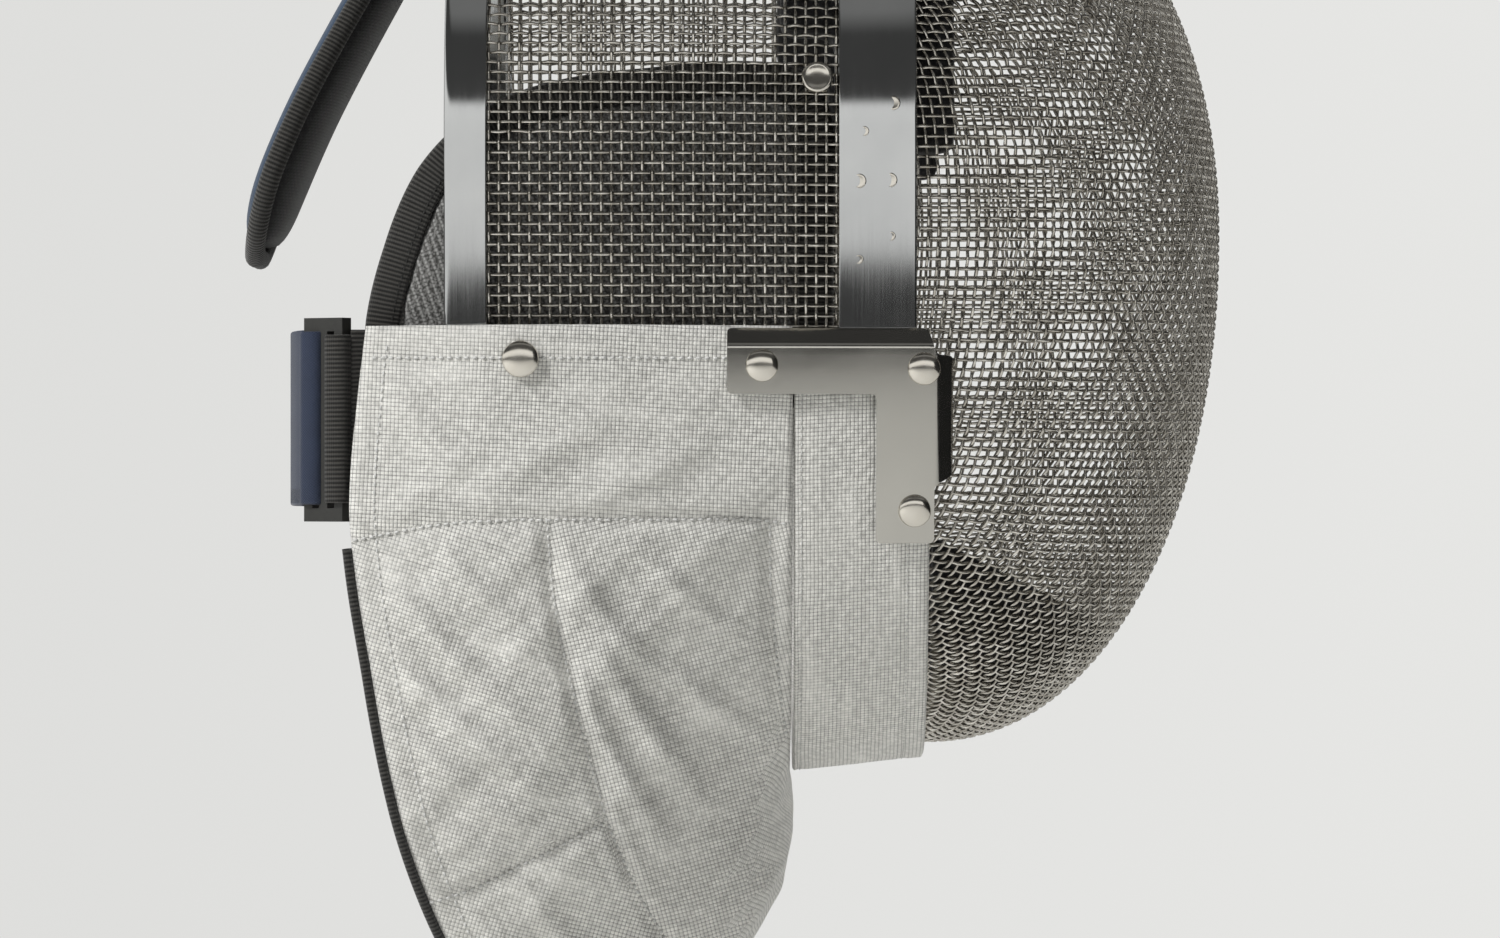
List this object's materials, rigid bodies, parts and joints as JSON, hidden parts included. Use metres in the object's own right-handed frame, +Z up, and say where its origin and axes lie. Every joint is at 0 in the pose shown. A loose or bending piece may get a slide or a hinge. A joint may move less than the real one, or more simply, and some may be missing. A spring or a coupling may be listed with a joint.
{
  "type": "fencing mask",
  "caption": "Sabre fencing mask: pressed wire face, wire crown and sides, steel band, silver cloth bib, pads, rear tongue and strap.",
  "frame": {"origin": "inside the crown, where the top of the wearer's head sits, on the middle plane and half-way along the side mesh", "axes": "+Z up, -Y the way the face looks, +X to the wearer's left; the mask is the same on both sides of X = 0"},
  "size_m": [0.2124, 0.3002, 0.4045],
  "materials": {
    "steel_wire": "bright woven stainless wire",
    "bright_steel": "polished and brushed sheet",
    "silver_cloth": "padded conductive weave with a metallic sheen",
    "black_cloth": "matt padded cloth",
    "black_ribbon": "ribbed woven ribbon",
    "grey_cloth": "heather grey knitted pad",
    "navy_cloth": "woven navy cloth and elastic",
    "black_plastic": "moulded"
  },
  "bodies": {
    "root": {"face_mesh": "steel_wire", "side_mesh": "steel_wire", "front_band": "bright_steel", "rear_channel": "bright_steel", "chin_strip": "silver_cloth", "bib": "silver_cloth", "bib_piping": "black_cloth", "forehead_pad": "black_cloth", "chin_pad": "black_cloth", "tongue_pad": "navy_cloth", "tongue_binding": "black_ribbon", "tongue_spring": "bright_steel", "back_strap": "navy_cloth", "bracket_right": "bright_steel", "bracket_rivet_right_1": "bright_steel", "bracket_rivet_right_2": "bright_steel", "bracket_rivet_right_3": "bright_steel", "bib_rivet_right": "bright_steel", "snap_right": "bright_steel", "ear_pad_right": "grey_cloth", "ear_binding_right": "black_ribbon", "webbing_right": "black_ribbon", "slider_right": "black_plastic", "bracket_left": "bright_steel", "bracket_rivet_left_1": "bright_steel", "bracket_rivet_left_2": "bright_steel", "bracket_rivet_left_3": "bright_steel", "bib_rivet_left": "bright_steel", "snap_left": "bright_steel", "ear_pad_left": "grey_cloth", "ear_binding_left": "black_ribbon", "webbing_left": "black_ribbon", "slider_left": "black_plastic"}
  },
  "joints": []
}
